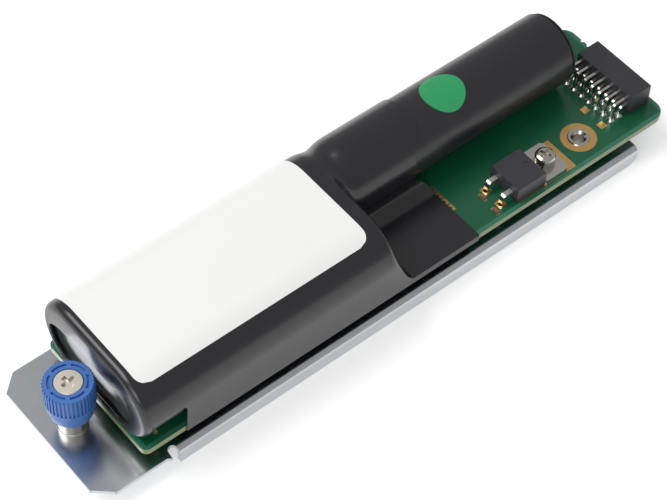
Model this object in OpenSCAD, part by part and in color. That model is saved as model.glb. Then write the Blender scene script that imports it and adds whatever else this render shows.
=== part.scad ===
// Backup battery module for a disk array controller.
// Three parallel-wired cells sit on a circuit board, two side by side in a shrink film and a third behind
// them in its own sleeve. The board stands on a folded steel tray with a captive thumbscrew at its front.
// X runs along the tray from the thumbscrew to the connector, Z is up, and the tray's flanges stand on z = 0.

/* [Tray] */
// Width over the two flanges
tray_w = 38.7; // [37.6:0.1:42]
// Thickness of the steel sheet
sheet_t = 1; // [0.8:0.1:1.4]
// Height of the tray, from the flange edges to the plate's upper face
tray_h = 4.75; // [4:0.05:8]
// Outer radius of the two bends
bend_r = 1.8; // [1.5:0.1:2.4]
// Length of the flat tongue in front of the flanges
tongue_len = 20.9; // [19:0.1:24]
// Cut corners of the tongue, along X and along Y
tongue_chamfer = [4.2, 3.8]; // [2:0.1:5]
// Rounding where the cut corners meet the tongue's edges
tongue_round = 1; // [0.5:0.1:2]
// Width of the bend relief notch between tongue and flange
notch_w = 2.4; // [1.8:0.1:3]
// Depth of the bend relief notch
notch_depth = 1.1; // [0.8:0.1:2]
// Reach of the small ear beside the notch
ear_reach = 0.7; // [0.3:0.1:1]
// Radius of the flanges' lower rear corners
flange_end_r = 2.6; // [1:0.1:3]

/* [Captive screw] */
// Distance of the screw's axis from the tongue's front edge
screw_setback = 6.8; // [6.2:0.1:7]
// Diameter of the knob over its ribs
knob_d = 11.3; // [10:0.1:11.6]
// Diameter of the knob's lower end
knob_foot_d = 8.8; // [8.2:0.1:9.6]
// Height of the knob
knob_h = 10.8; // [10.6:0.1:13]
// Height of the knob's lower end above the plate
knob_lift = 5.7; // [4.6:0.1:6]
// Height of the plain band below the ribs
knob_band = 5.3; // [3:0.1:6]
// Number of ribs round the knob
rib_count = 40; // [24:1:48]
// Depth of the grooves between the ribs
rib_depth = 0.35; // [0.2:0.05:0.5]
// Number of arc slots in the knob's top
slot_count = 6; // [4:1:8]
// Diameter of the screw's head disc
head_d = 6.4; // [6:0.1:7]
// Height of the screw's head disc
head_t = 1.3; // [1:0.1:1.5]
// Outer diameter of the ferrule that holds the screw
ferrule_d = 6.6; // [6.4:0.1:6.8]
// Height of the ferrule above the plate
ferrule_h = 9.4; // [8.6:0.1:9.8]
// Wall of the ferrule
ferrule_wall = 0.6; // [0.5:0.05:0.65]
// Diameter of the screw's thread
thread_d = 3.5; // [3:0.1:3.6]
// Diameter of the screw's upper shank
shank_d = 4.2; // [3.8:0.1:4.4]
// Reach of the screw's tip below the plate's upper face, at rest
tip_reach = 3.6; // [2.6:0.1:4]
// Wire of the return spring
spring_wire = 0.4; // [0.3:0.05:0.45]
// Turns of the return spring
spring_turns = 5; // [4:1:7]
// Travel of the screw when the knob is pushed down
plunge = 4; // [2:0.1:4.5]

/* [Circuit board] */
// Distance from the tongue's front edge to the board's front edge
board_setback = 12.86; // [12.8:0.02:14]
// Reach of the board behind the rear cell
board_tail = 15.1; // [14.5:0.1:18]
// Reach of the board behind the tray's rear edge
board_overhang = 9.8; // [4:0.1:12]
// Width of the board
board_w = 35.8; // [35:0.1:36.4]
// Thickness of the board
board_t = 1.6; // [1.2:0.1:2]
// Height of the board's underside above the plate
board_lift = 3.5; // [3.2:0.1:5]
// Radius of the board's front corners
board_front_r = 1.6; // [1:0.1:3]
// Radius of the board's rear corners
board_rear_r = 3.5; // [2:0.1:5]
// Thickness of the gilded pads
pad_t = 0.05; // [0.03:0.01:0.08]
// Diameter of the standoffs between plate and board
standoff_d = 6; // [5.8:0.1:6.4]
// Diameter of the standoff's swaged rim on the board
swage_d = 5.5; // [5.2:0.1:6]
// Diameter of the standoff's neck in the board
neck_d = 4.2; // [4:0.1:4.8]
// Bore of the standoffs
standoff_bore = 2.9; // [2.6:0.1:3.4]
// Distance of the rear standoff from the board's rear edge
rear_standoff_x = 22.43; // [21:0.01:24]
// Distance of the rear standoff from the centre line, on the near side
rear_standoff_y = 10.74; // [9.5:0.01:11.5]
// Distance of the front standoff from the board's front edge
front_standoff_x = 7.2; // [7.1:0.1:7.4]
// Outer diameter of the ring pad round the rear standoff
ring_pad_d = 8.85; // [8:0.05:9.4]

/* [Cells] */
// Diameter of a cell's steel can
can_d = 18.2; // [17.6:0.1:18.3]
// Length of a cell
cell_len = 65; // [63:0.1:66]
// Wall of a cell's sleeve
sleeve_t = 0.1; // [0.08:0.01:0.14]
// Distance between the axes of the two front cells
cell_pitch = 18.44; // [18.42:0.02:18.6]
// Distance from the board's front edge to the front cells
cell_setback = 2.04; // [2:0.02:2.6]
// Gap between the front cells and the rear cell
cell_gap = 7.6; // [6.5:0.1:9]
// Thickness of the adhesive tape under the cells
tape_t = 0.3; // [0.25:0.05:0.6]
// Width of the adhesive tape
tape_w = 5; // [3:0.5:8]
// Thickness of the nickel straps
strap_t = 0.15; // [0.1:0.05:0.25]
// Width of the nickel straps
strap_w = 7; // [5:0.5:9]
// Thickness of the front end insulator
insulator_t = 0.4; // [0.2:0.05:0.45]

/* [Shrink film] */
// Thickness of the film
film_t = 0.3; // [0.2:0.05:0.35]
// Space between the film and what it covers
film_clear = 0.1; // [0.08:0.01:0.15]
// Reach of the film in front of the front cells
film_overhang = 1.98; // [1.9:0.02:2]
// Rounding of the film's front edge
film_front_r = 1.7; // [1.2:0.1:1.8]
// Reach of the film over the rear cell
film_grip = 19.42; // [16:0.02:22]
// Radius of the opening in the film's front face
mouth_r = 5.2; // [4.5:0.1:5.3]
// Distance of the opening's near round end from the centre line
mouth_near = 7.5; // [6:0.1:8]
// Half width of the opening's far end
mouth_far_r = 6.8; // [5:0.1:6.8]
// Length of the side cut-outs at the film's front
cutout_len = 10.8; // [10.7:0.1:12]
// Radius of the hollow between the film's flat web and the rear cell
hollow_r = 4; // [2.5:0.1:5]
// Forward dip of the film's rear edge on the rear cell's near side
rear_dip = 4.2; // [0:0.1:5]

/* [Labels] */
// Distance of the label from the front cells' front end
label_setback = 0.4; // [0.4:0.1:1.5]
// Distance of the label from the front cells' rear end
label_margin = 2.8; // [2:0.1:10]
// Angle of the label's near edge round the near cell
label_near = 122; // [100:1:140]
// Angle of the label's far edge round the far cell
label_far = 16; // [10:1:70]
// Thickness of the labels
label_t = 0.1; // [0.06:0.01:0.14]
// Diameter of the round sticker
sticker_d = 10.8; // [9:0.1:12]
// Distance of the sticker's centre behind the film's rear edge
sticker_x = 10.58; // [8:0.02:16]

/* [Power transistor] */
// Length and width of the moulded body
fet_size = [9.1, 9.4]; // [9:0.1:10.4]
// Height of the moulded body
fet_h = 4.5; // [4.2:0.1:4.8]
// Distance of the body's front face from the board's rear edge
fet_x = 47.6; // [46.8:0.1:48.6]
// Distance of the transistor's middle from the centre line, on the near side
fet_y = 11.8; // [11.4:0.01:12.1]
// Thickness of the metal tab
tab_t = 1.3; // [1.1:0.1:1.5]
// Length of the tab behind the body
tab_len = 7.4; // [7:0.1:8]
// Spacing of the two leads
lead_gap = 5.08; // [4.6:0.02:5.4]
// Diameter of the fixing screw's thread
fix_d = 3; // [2.5:0.1:3]
// Diameter of the fixing screw's head
fix_head_d = 5; // [4.8:0.1:5.6]

/* [Connector] */
// Reach of the housing from its front face to the board's rear edge
housing_x = 8.1; // [7.5:0.05:8.6]
// Distance of the housing's middle from the centre line, on the near side
housing_y = 3.7; // [3:0.1:4]
// Length, width and height of the housing
housing_size = [6.5, 18.4, 6.05]; // [6:0.05:19]
// Number of contact columns
pin_columns = 7; // [5:1:7]
// Pitch of the columns and rows
pin_pitch = 2.54; // [2.4:0.02:2.56]
// Side of the square pins
pin_w = 0.64; // [0.5:0.02:0.7]

/* [Hidden] */
$fn = 64;
eps = 0.01;

// Lengthwise places: the board is as long as the cells in line need
board_len = cell_setback + 2 * cell_len + cell_gap + board_tail;
module_len = board_setback + board_len;
tray_len = module_len - board_overhang;
tray_x = -module_len / 2;
board_x = tray_x + board_setback;
board_end_x = board_x + board_len;
front_x = board_x + cell_setback;
front_end_x = front_x + cell_len;
rear_x = front_end_x + cell_gap;
rear_end_x = rear_x + cell_len;
film_x = front_x - film_overhang;
film_end_x = rear_x + film_grip;

// Heights
plate_z = tray_h;
board_z = plate_z + board_lift;
board_top = board_z + board_t;
cell_r = can_d / 2 + sleeve_t;
cell_z = board_top + tape_t + cell_r;
cell_y = cell_pitch / 2;
film_r = cell_r + film_clear + film_t;

// Captive screw, measured upwards from the plate's upper face
screw_x = tray_x + screw_setback;
screw_fit = 0.1;
neck_r = thread_d / 2 - 0.35;
thread_top = -sheet_t - 0.2;
stop_gap = 0.05;
ferrule_floor = 0.8;
rim_t = 0.8;
shoulder_t = 0.6;
shoulder_d = ferrule_d - 2 * ferrule_wall - 2 * screw_fit;
shoulder_z = ferrule_h - rim_t - stop_gap - shoulder_t;
knob_bore_d = ferrule_d + 4 * screw_fit;
knob_cavity = ferrule_h + plunge + 2 * screw_fit;
knob_top = knob_lift + knob_h;
head_gap = 0.12;
recess_w = 1.05;
recess_depth = 0.9;

// Transistor, measured from the board's upper face
fet_pos = [board_end_x - fet_x, -fet_y];
fet_screw = [fet_pos[0] + fet_size[0] + tab_len * 0.52, -fet_y];
flat_washer_t = 0.4;
spring_washer_t = 0.7;
fix_head_t = 1.7;
nut_t = 2.4;
nut_across = 5.5;
lead_size = [1.25, 0.5];
lead_z = 2.4;
lead_bend = 0.9;
lead_reach = 3.2;
lead_ys = [for (side = [-1, 1]) -fet_y + side * lead_gap / 2];
lead_foot_x = fet_pos[0] - lead_reach + lead_size[1] / 2;

// Connector contacts
pin_ys = [for (i = [0:pin_columns - 1]) -housing_y + (i - (pin_columns - 1) / 2) * pin_pitch];
housing_pos = [board_end_x - housing_x, -housing_y, board_top];
upper_z = 4.75;
lower_z = upper_z - pin_pitch;
upper_reach = 4.6;
lower_reach = upper_reach - pin_pitch;
pin_bend = 0.9;
socket_w = 1.5;
socket_depth = 4.8;

// Test points and other pads on the board's upper face
test_pad_w = 1.9;
test_hole_d = 0.8;
lead_pad_w = 2.2;
lead_hole_d = 1.5;
pad_margin = [1.8, 0.5];
pad_start = 0.5;
test_pad_pitch = 2.26;
test_pad_side = 0.14;
test_pads = [for (i = [0:3]) [film_end_x + test_pad_side, -1.35 - i * test_pad_pitch]];
plain_pads = [[board_end_x - 15.24, -5.4], [board_end_x - 15.34, -11.35]];
chip_size = [0.85, 1.6, 0.5];
chip_ends = [[fet_pos[0] - 5.04, -10.3], [fet_pos[0] - 5.34, -15.2]];
monitor_x = front_x + cell_len / 2;
thermistor_x = front_x + cell_len * 0.75;
standoffs = [[board_x + front_standoff_x, 0], [board_end_x - rear_standoff_x, -rear_standoff_y]];
strap_foot = 2;
strap_foot_w = 3;

// ---- Shared shapes ----

// Rectangle from the origin with four round corners
module round_rect(size, r) {
    translate([r, 0]) square([size[0] - 2 * r, size[1]]);
    translate([0, r]) square([size[0], size[1] - 2 * r]);
    for (x = [r, size[0] - r], y = [r, size[1] - r]) translate([x, y]) circle(r);
}

// Round bar along +X, starting at the given point
module bar_x(pos, r, len) {
    translate(pos) rotate([0, 90, 0]) cylinder(r = r, h = len);
}

// Solid of revolution about +X, from [axial, radial] points
module turned_x(pos, points) {
    translate(pos) rotate([0, 90, 0]) rotate_extrude() polygon([for (p = points) [p[1], p[0]]]);
}

// Outline in the XZ plane, drawn out along Y about y = 0
module side_profile(width) {
    translate([0, width / 2, 0]) rotate([90, 0, 0]) linear_extrude(width) children();
}

// Outline in the YZ plane, drawn out along +X
module cross_profile(x, len) {
    translate([x, 0, 0]) rotate([90, 0, 90]) linear_extrude(len) children();
}

// Cross-shaped driver recess
module cross_recess(width, length, depth) {
    for (turn = [0, 90]) rotate(turn) translate([-length / 2, -width / 2, -depth])
        cube([length, width, depth + eps]);
}

// ---- Tray ----

// Half of the folded section: plate, bend and flange on the +Y side
module tray_half_section() {
    translate([0, tray_h - sheet_t]) square([tray_w / 2 - bend_r, sheet_t]);
    translate([tray_w / 2 - sheet_t, 0]) square([sheet_t, tray_h - bend_r]);
    intersection() {
        translate([tray_w / 2 - bend_r, tray_h - bend_r]) difference() {
            circle(bend_r);
            circle(bend_r - sheet_t);
        }
        translate([tray_w / 2 - bend_r, tray_h - bend_r]) square(bend_r);
    }
}

// Half outline of the tongue, with its cut corner, ear and notch wall
module tongue_half() {
    edge = tray_w / 2;
    ear_x = tongue_len - notch_w;
    difference() {
        polygon([[0, 0], [0, edge - tongue_chamfer[1]], [tongue_chamfer[0], edge], [ear_x - 1.1, edge],
            [ear_x - 0.1, edge + ear_reach], [ear_x + 0.1, edge - notch_depth],
            [tongue_len, edge - notch_depth], [tongue_len, 0]]);
        tongue_corner_waste();
    }
}

// Sliver taken off where the cut corner meets the front edge and the side edge
module tongue_corner_waste() {
    corner = [[0, tray_w / 2 - tongue_chamfer[1]], [tongue_chamfer[0], tray_w / 2]];
    slope = atan2(tongue_chamfer[1], tongue_chamfer[0]);
    turns = [90 - slope, slope];
    for (i = [0, 1]) {
        run = tongue_round * tan(turns[i] / 2);
        centre = i == 0 ? corner[0] + [tongue_round, -run] : corner[1] + [run, -tongue_round];
        difference() {
            polygon([corner[i], i == 0 ? corner[0] - [0, run] : corner[1] + [run, 0], centre,
                corner[i] + (i == 0 ? 1 : -1) * run * [cos(slope), sin(slope)]]);
            translate(centre) circle(tongue_round);
        }
    }
}

module tray() {
    color("lightsteelblue") difference() {
        union() {
            difference() {
                cross_profile(tray_x + tongue_len, tray_len - tongue_len)
                    for (side = [0, 1]) mirror([side, 0]) tray_half_section();
                // Round lower rear corners of the flanges
                translate([tray_x + tray_len - flange_end_r, 0, 0]) side_profile(tray_w + 2) difference() {
                    translate([0, -1]) square([flange_end_r + 1, flange_end_r + 1]);
                    translate([0, flange_end_r]) circle(flange_end_r);
                }
            }
            translate([tray_x, 0, plate_z - sheet_t]) linear_extrude(sheet_t)
                for (side = [0, 1]) mirror([0, side]) tongue_half();
        }
        // Round relief at the inner end of each notch
        for (side = [-1, 1])
            translate([tray_x + tongue_len - notch_w / 2, side * (tray_w / 2 - notch_depth), 0])
                cylinder(d = notch_w - 0.2, h = tray_h + 1);
        translate([screw_x, 0, -eps]) cylinder(d = ferrule_d - 1, h = tray_h + 1);
        for (p = standoffs) translate([p[0], p[1], -eps]) cylinder(d = neck_d, h = tray_h + 1);
    }
}

// Standoffs clinched into the plate and swaged over the board
module board_standoffs() {
    rim_h = 0.3;
    color("silver") for (p = standoffs) translate([p[0], p[1], 0]) rotate_extrude() polygon([
        [standoff_bore / 2, plate_z - sheet_t], [neck_d / 2, plate_z - sheet_t], [neck_d / 2, plate_z],
        [standoff_d / 2, plate_z], [standoff_d / 2, board_z], [neck_d / 2, board_z],
        [neck_d / 2, board_top + pad_t], [swage_d / 2, board_top + pad_t],
        [swage_d / 2 - 0.2, board_top + pad_t + rim_h], [standoff_bore / 2 + 0.5, board_top + pad_t + rim_h],
        [standoff_bore / 2, board_top - 0.4]]);
}

// ---- Captive screw ----

// Ferrule clinched in the plate: its floor guides the screw's neck and keeps the wider thread below,
// and its rolled-in rim keeps the screw's shoulder inside
module screw_ferrule() {
    bore = neck_r + screw_fit;
    inner = ferrule_d / 2 - ferrule_wall;
    rim = shank_d / 2 + screw_fit;
    color("gainsboro") translate([screw_x, 0, plate_z]) rotate_extrude() polygon([
        [bore, -sheet_t], [ferrule_d / 2 - 0.5, -sheet_t], [ferrule_d / 2 - 0.5, 0],
        [ferrule_d / 2 + 0.1, 0], [ferrule_d / 2 + 0.1, 0.6], [ferrule_d / 2, 0.8],
        [ferrule_d / 2, ferrule_h - 0.3], [ferrule_d / 2 - 0.3, ferrule_h], [rim, ferrule_h],
        [rim, ferrule_h - rim_t], [inner, ferrule_h - rim_t], [inner, ferrule_floor], [bore, ferrule_floor]]);
}

// Ring of points round the spring's wire, at the given turn angle and height
function wire_ring(coil_r, wire_r, turn, z, sides) = [for (i = [0:sides - 1]) let (a = 360 * i / sides)
    [(coil_r + wire_r * cos(a)) * cos(turn), (coil_r + wire_r * cos(a)) * sin(turn), z + wire_r * sin(a)]];

// Return spring between the ferrule's floor and the screw's shoulder
module screw_spring() {
    sides = 8;
    steps = 16 * spring_turns;
    wire_r = spring_wire / 2;
    coil_r = shoulder_d / 2 - wire_r;
    seat = ferrule_floor + wire_r + 0.02;
    rise = shoulder_z - 0.02 - wire_r - seat;
    rings = [for (k = [0:steps]) wire_ring(coil_r, wire_r, 360 * spring_turns * k / steps,
        seat + rise * min(1, max(0, (k / steps - 0.08) / 0.84)), sides)];
    points = [for (r = rings) each r];
    walls = [for (k = [0:steps - 1], i = [0:sides - 1]) let (j = (i + 1) % sides)
        [k * sides + j, (k + 1) * sides + j, (k + 1) * sides + i, k * sides + i]];
    caps = [[for (i = [0:sides - 1]) sides - 1 - i], [for (i = [0:sides - 1]) steps * sides + i]];
    color("silver") translate([screw_x, 0, plate_z]) polyhedron(points, concat(walls, caps), convexity = 8);
}

module thumb_knob() {
    r = knob_d / 2;
    ribs_z = knob_lift + knob_band;
    slot_r = [knob_d * 0.355, knob_d * 0.405];
    slot_span = 360 / slot_count - 13;
    color("royalblue") translate([screw_x, 0, plate_z]) difference() {
        rotate_extrude() polygon([
            [knob_bore_d / 2, knob_lift], [knob_foot_d / 2, knob_lift],
            [knob_foot_d / 2 + 0.45, knob_lift + 0.5], [r - 0.3, knob_lift + knob_band * 0.52],
            [r, ribs_z - 0.2], [r, knob_top - 0.4], [r - rib_depth * 0.7, knob_top],
            [head_d / 2 + head_gap, knob_top], [head_d / 2 + head_gap, knob_top - head_t],
            [shank_d / 2, knob_top - head_t], [shank_d / 2, knob_cavity], [knob_bore_d / 2, knob_cavity]]);
        // Grooves between the ribs
        for (i = [0:rib_count - 1]) rotate(360 * (i + 0.5) / rib_count)
            translate([r - rib_depth, -r * 0.08, ribs_z]) cube([2 * rib_depth, r * 0.075, knob_h]);
        // Arc slots round the head
        translate([0, 0, knob_top - 0.5]) for (i = [0:slot_count - 1])
            rotate(360 * i / slot_count) rotate_extrude(angle = slot_span)
                translate([slot_r[0], 0]) square([slot_r[1] - slot_r[0], 1]);
    }
}

module captive_screw() {
    color("linen") translate([screw_x, 0, plate_z]) difference() {
        rotate_extrude() polygon([
            [0, -tip_reach], [thread_d / 2 - 0.5, -tip_reach], [thread_d / 2, -tip_reach + 0.5],
            [thread_d / 2, thread_top], [neck_r, thread_top], [neck_r, shoulder_z],
            [shoulder_d / 2, shoulder_z], [shoulder_d / 2, shoulder_z + shoulder_t],
            [shank_d / 2, shoulder_z + shoulder_t], [shank_d / 2, knob_top - head_t],
            [head_d / 2, knob_top - head_t], [head_d / 2, knob_top - 0.15], [head_d / 2 - 0.15, knob_top],
            [0, knob_top]]);
        translate([0, 0, knob_top]) rotate(8) cross_recess(recess_w, head_d * 0.52, recess_depth);
    }
}

// ---- Circuit board ----

module circuit_board() {
    nick_w = 1;
    color("seagreen") translate([0, 0, board_z]) linear_extrude(board_t) difference() {
        translate([board_x, -board_w / 2]) {
            round_rect([board_len - board_rear_r, board_w], board_front_r);
            translate([board_len / 2, 0]) round_rect([board_len / 2, board_w], board_rear_r);
        }
        for (p = standoffs) translate(p) circle(d = neck_d);
        translate(fet_screw) circle(d = fix_d + 0.2);
        for (y = pin_ys, reach = [upper_reach, lower_reach])
            translate([housing_pos[0] - reach + pin_w / 2, y]) circle(d = 1);
        for (y = lead_ys) translate([lead_foot_x, y]) circle(d = lead_hole_d);
        for (p = test_pads) translate(p) circle(d = test_hole_d);
        translate([board_x + 4.73, 2.75 - board_w / 2]) circle(d = 1.2);
        // Nicks left where the board was broken out of its panel
        for (y = [7.5, 9.5, 11.5]) translate([board_end_x, y]) circle(d = nick_w);
    }
}

// Square pad about the given point, with an optional hole
module square_pad(pos, width, hole = 0) {
    translate(pos) difference() {
        square(width, center = true);
        if (hole > 0) circle(d = hole);
    }
}

module board_pads() {
    fet_pad = [fet_size[0] + tab_len + pad_margin[0], fet_size[1] + pad_margin[1]];
    color("goldenrod") translate([0, 0, board_top]) linear_extrude(pad_t) {
        for (p = test_pads) square_pad(p, test_pad_w, test_hole_d);
        for (p = plain_pads) square_pad(p, test_pad_w);
        for (y = lead_ys) square_pad([lead_foot_x, y], lead_pad_w, lead_hole_d);
        for (p = chip_ends, side = [-1, 1]) square_pad(p + [0, side * chip_size[1] * 0.5], chip_size[0]);
        translate(standoffs[1]) difference() {
            circle(d = ring_pad_d);
            circle(d = neck_d);
        }
        // Pad under the transistor, open round its screw
        difference() {
            translate([fet_pos[0] + pad_start, -fet_y - fet_pad[1] / 2]) square(fet_pad);
            translate(fet_screw) circle(d = fix_d + 0.2);
        }
    }
}

// Solder cone round a pin that leaves the board's upper face
module solder_cone(pos, hole_d) {
    translate([pos[0], pos[1], board_top]) difference() {
        cylinder(d1 = hole_d + 1.1, d2 = hole_d + 0.3, h = 0.55);
        translate([0, 0, -eps]) cylinder(d = hole_d, h = 1);
    }
}

module solder_joints() {
    pin_hole = pin_w * 1.45;
    color("silver") for (y = pin_ys, reach = [upper_reach, lower_reach])
        solder_cone([housing_pos[0] - reach + pin_w / 2, y], pin_hole);
}

// ---- Cells ----

// Steel can with its crimped neck and raised cap towards -X
module cell(x, y) {
    r = can_d / 2;
    color("silver") turned_x([x, y, cell_z], [
        [0, 0], [0, 4.2], [0.3, 4.5], [0.6, 4.5], [0.6, 6.6], [sleeve_t, 7.2], [sleeve_t, r - 0.6],
        [sleeve_t + 0.6, r], [3.2, r], [3.7, r - 0.8], [4.3, r - 0.8], [4.8, r],
        [cell_len - sleeve_t - 0.6, r], [cell_len - sleeve_t, r - 0.6], [cell_len - sleeve_t, 4],
        [cell_len, 3.6], [cell_len, 0]]);
}

// Sleeve shrunk over a can, turned in over both ends
module sleeve(x, y) {
    r = can_d / 2;
    turn_in = 2;
    turned_x([x, y, cell_z], [
        [0, r - turn_in], [0, cell_r - 0.6], [0.6, cell_r], [cell_len - 0.6, cell_r],
        [cell_len, cell_r - 0.6], [cell_len, r - turn_in], [cell_len - sleeve_t, r - turn_in],
        [cell_len - sleeve_t, r - 0.6], [cell_len - sleeve_t - 0.6, r], [sleeve_t + 0.6, r],
        [sleeve_t, r - 0.6], [sleeve_t, r - turn_in]]);
}

module cell_front_near() { cell(front_x, -cell_y); }
module cell_front_far() { cell(front_x, cell_y); }
module cell_rear() { cell(rear_x, cell_y); }
module sleeve_front_near() { color("dimgray") sleeve(front_x, -cell_y); }
module sleeve_front_far() { color("dimgray") sleeve(front_x, cell_y); }
module sleeve_rear() { color("black") sleeve(rear_x, cell_y); }

// Adhesive tape between each cell and the board, hollowed to the cell's round side
module cell_tapes() {
    margin = 4;
    seat = 0.005;
    color("whitesmoke") for (c = [[front_x, -cell_y], [front_x, cell_y], [rear_x, cell_y]]) difference() {
        translate([c[0] + margin, c[1] - tape_w / 2, board_top])
            cube([cell_len - 2 * margin, tape_w, 2 * tape_t]);
        bar_x([c[0], c[1], cell_z], cell_r + seat, cell_len, $fn = 360);
    }
}

// Tab from a strap down to the board, ending in a foot along +X
module strap_tab(x, y) {
    translate([x, y - strap_foot_w / 2, board_top]) {
        cube([strap_t, strap_foot_w, cell_z - board_top - strap_w / 2 + eps]);
        cube([strap_foot, strap_foot_w, strap_t]);
    }
}

// Strap plate across the two front cells
module strap_plate(x) {
    translate([x, -cell_y - strap_w / 2, cell_z - strap_w / 2])
        cube([strap_t, cell_pitch + strap_w, strap_w]);
}

module strap_front() {
    color("lightgray") {
        strap_plate(front_x - strap_t);
        strap_tab(front_x - strap_t, 0);
    }
}

module strap_middle() {
    bridge_z = cell_z + strap_w / 2 - strap_t;
    color("lightgray") {
        strap_plate(front_end_x);
        strap_tab(front_end_x, 0);
        translate([front_end_x, cell_y - strap_w / 2, bridge_z]) cube([cell_gap, strap_w, strap_t]);
        translate([rear_x - strap_t, cell_y - strap_w / 2, cell_z - strap_w / 2])
            cube([strap_t, strap_w, strap_w]);
    }
}

module strap_rear() {
    color("lightgray") {
        translate([rear_end_x, cell_y - strap_w / 2, cell_z - strap_w / 2]) cube([strap_t, strap_w, strap_w]);
        strap_tab(rear_end_x, cell_y);
    }
}

// Stiff sheet over the front ends of the two front cells
module insulator_front() {
    r = cell_r - 0.3;
    x = front_x - strap_t - insulator_t;
    color("slategray") cross_profile(x, insulator_t) {
        for (side = [-1, 1]) translate([side * cell_y, cell_z]) circle(r);
        translate([-cell_y, cell_z - r + 1.2]) square([cell_pitch, 2 * r - 1.2]);
    }
}

// Disc over the rear cell's strap, slotted for the strap's tab
module insulator_rear() {
    color("black") difference() {
        bar_x([rear_end_x + strap_t, cell_y, cell_z], cell_r - 0.5, insulator_t);
        translate([rear_end_x, cell_y - strap_foot_w, 0])
            cube([strap_t + insulator_t + 1, 2 * strap_foot_w, board_top + strap_t + 1]);
    }
}

// ---- Shrink film ----
// The film is one closed skin. Each ring of points goes once round the section, from under the board on the
// centre line, up the near side, over the top and down the far side, always with the same number of points.

n_base = 3;
n_edge = 3;
n_side = 3;
n_arc = 10;
n_hollow = 4;
n_top = 18;
n_round = 4;
n_drape = 8;
edge_r = 0.6;
web_corner = 0.2;
film_under = board_z - film_clear - film_t;
film_edge_y = board_w / 2 + film_clear + film_t;
web_z = board_top + film_clear + film_t;
hollow_rise = cell_z - web_z - hollow_r;
hollow_y = cell_y - sqrt(pow(film_r + hollow_r, 2) - pow(hollow_rise, 2));
hollow_end = atan2(hollow_rise, cell_y - hollow_y);
lip_z = board_top + 0.15;
lip_round = 0.4;
mouth_z = board_top + 6.35;
mouth_depth = 0.6;
drape_shift = 0.7 * film_t;
cutout_round = 2.2;

function lerp(a, b, t) = a + (b - a) * t;
function smooth(t) = let (u = min(max(t, 0), 1)) u * u * (3 - 2 * u);
function polar(a) = [cos(a), sin(a)];
// n points from a towards b, with a as the first of them and b left out
function run(a, b, n) = [for (i = [0:n - 1]) lerp(a, b, i / n)];
// n points strictly between a and b
function between(a, b, n) = [for (i = [1:n]) lerp(a, b, i / (n + 1))];
function arc(c, r, a0, a1, n) = [for (i = [0:n - 1]) c + r * polar(lerp(a0, a1, i / (n - 1)))];
// Whole section from its near half, its top and the near half whose mirror image is the far half
function closed(near, top, far) =
    concat(near, top, [for (i = [len(far) - 1:-1:1]) [-far[i][0], far[i][1]]]);
function ring(x, section) = [for (p = section) [x, p[0], p[1]]];

// Base, board edge and side up to the given point, with inset o from the film's outer face
function lower_near(o, top) = let (e = max(edge_r - o, 0.25), y = -film_edge_y + o,
        z = film_under + o) concat(
    run([0, z], [y + e, z], n_base),
    arc([y + e, z + e], e, 270, 180, n_edge),
    between([y, z + e], top, n_side));
function full_near(o) = let (r = film_r - o) concat(
    lower_near(o, [-cell_y - r, cell_z]),
    arc([-cell_y, cell_z], r, 180, 90, n_arc));
// Flat top over the two front cells
function bridge(z) = between([-cell_y, z], [cell_y, z], n_top);
function full_section(o) = closed(full_near(o), bridge(cell_z + film_r - o), full_near(o));

// Section behind the near cell: a flat web on the board, a hollow, and the rear cell's round side
function rear_section(o) = let (y = -film_edge_y + o, z = web_z - o) closed(
    concat(
        lower_near(o, [y, z - web_corner]),
        [[y, z - web_corner]],
        run([y + web_corner, z], [hollow_y, z], n_arc - 1)),
    concat(
        arc([hollow_y, web_z + hollow_r], hollow_r + o, 270, 360 + hollow_end, n_hollow),
        [for (i = [1:n_top - n_hollow]) [cell_y, cell_z]
            + (film_r - o) * polar(lerp(180 + hollow_end, 90, i / (n_top - n_hollow + 1)))]),
    full_near(o));

// Near half of a rounded outline about z, with its own radii to the side, below and above
function half_outline(y, z, side_r, low_r, top_r) = let (n_low = n_edge + n_side) concat(
    run([0, z - low_r], [-y, z - low_r], n_base),
    [for (i = [0:n_low - 1]) let (a = 270 - 90 * i / n_low) [-y + side_r * cos(a), z + low_r * sin(a)]],
    [for (i = [0:n_arc - 1]) let (a = 180 - 90 * i / (n_arc - 1))
        [-y + side_r * cos(a), z + top_r * sin(a)]]);

// Section in front of the cells: round below as well, down to a lip just above the board
function lip_section(inset, low_inset) = let (
        r = film_r - inset, near = half_outline(cell_y, cell_z, r, cell_z - lip_z - low_inset, r))
    closed(near, bridge(cell_z + r), near);

// Outline of the opening in the front face, wider on the far side
function mouth_section(grow) = let (
        low = mouth_z - mouth_r - grow, top = mouth_z + mouth_r + grow, r = mouth_r + grow,
        far_z = mouth_z + 2, far_r = mouth_far_r + grow)
    closed(half_outline(mouth_near, mouth_z, r, r, r),
        between([-mouth_near, top], [cell_y, top], n_top),
        half_outline(cell_y, far_z, far_r, far_z - low, top - far_z));

// Rear edge of the film at a section point: it dips forward on the rear cell's near side
function rear_edge_x(p) = film_end_x - rear_dip * (p[0] > cell_y ? 0
    : smooth((p[1] - web_z) / 6) * (1 - smooth((p[1] - cell_z - 4) / 6)));

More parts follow.
